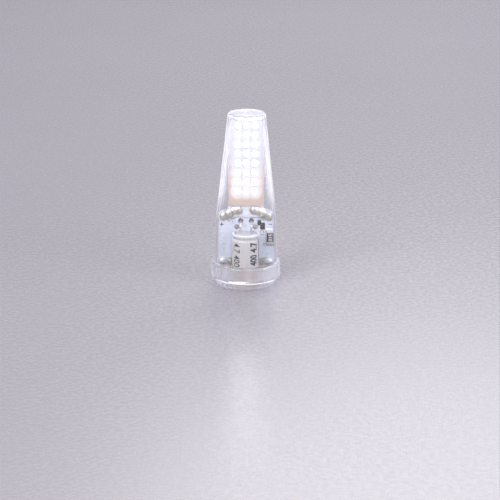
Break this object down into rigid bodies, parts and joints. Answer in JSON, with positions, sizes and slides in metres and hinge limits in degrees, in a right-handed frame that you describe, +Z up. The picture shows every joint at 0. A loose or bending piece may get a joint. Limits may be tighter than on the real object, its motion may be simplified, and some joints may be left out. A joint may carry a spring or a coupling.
{
  "type": "led capsule bulb",
  "caption": "Clear capsule LED lamp with a tapered shell over a two-sided LED board, a driver board with its parts, and a base with wire contact loops.",
  "frame": {"origin": "centre of the base's underside, which seats on the lamp holder's face", "axes": "+Z up the lamp, +X along the pair of contact loops and the boards' width, -Y towards the side with the electrolytic capacitor"},
  "size_m": [0.0162, 0.0162, 0.0482],
  "materials": {
    "cover_clear": "clear polycarbonate, polished",
    "base_clear": "clear polycarbonate, moulded",
    "contact_wire": "nickel-plated wire, drawn",
    "driver_mask": "white solder mask on glass-fibre board",
    "led_mask": "white mask on LED board",
    "phosphor": "silicone with warm phosphor, satin",
    "led_chip": "LED die",
    "can": "drawn aluminium",
    "sleeve": "shrink sleeve, pale grey",
    "rubber_bung": "moulded rubber, pale grey",
    "lead_wire": "tinned wire",
    "solder": "bright solder",
    "terminal": "tinned end band",
    "resistor_coat": "black overglaze",
    "ceramic_brown": "unglazed ceramic",
    "epoxy_black": "moulded epoxy",
    "package_lead": "tinned copper"
  },
  "bodies": {
    "root": {"cover": "cover_clear", "base_cup": "base_clear", "contact_pin_left": "contact_wire", "contact_pin_right": "contact_wire", "driver_board": "driver_mask", "led_board": "led_mask", "phosphor_front": "phosphor", "phosphor_rear": "phosphor", "led_chips_front": "led_chip", "led_chips_rear": "led_chip", "capacitor_can": "can", "capacitor_sleeve": "sleeve", "capacitor_bung": "rubber_bung", "capacitor_lead_positive": "lead_wire", "capacitor_lead_negative": "lead_wire", "capacitor_solder": "solder", "board_joint_solder": "solder", "pin_solder": "solder", "resistor_body": "resistor_coat", "resistor_terminals": "terminal", "resistor_solder": "solder", "input_capacitor_body": "ceramic_brown", "input_capacitor_terminals": "terminal", "input_capacitor_solder": "solder", "sense_resistor_body": "resistor_coat", "sense_resistor_terminals": "terminal", "sense_resistor_solder": "solder", "rectifier_body": "epoxy_black", "rectifier_leads": "package_lead", "rectifier_solder": "solder", "driver_chip_body": "epoxy_black", "driver_chip_leads": "package_lead", "driver_chip_solder": "solder"}
  },
  "joints": []
}
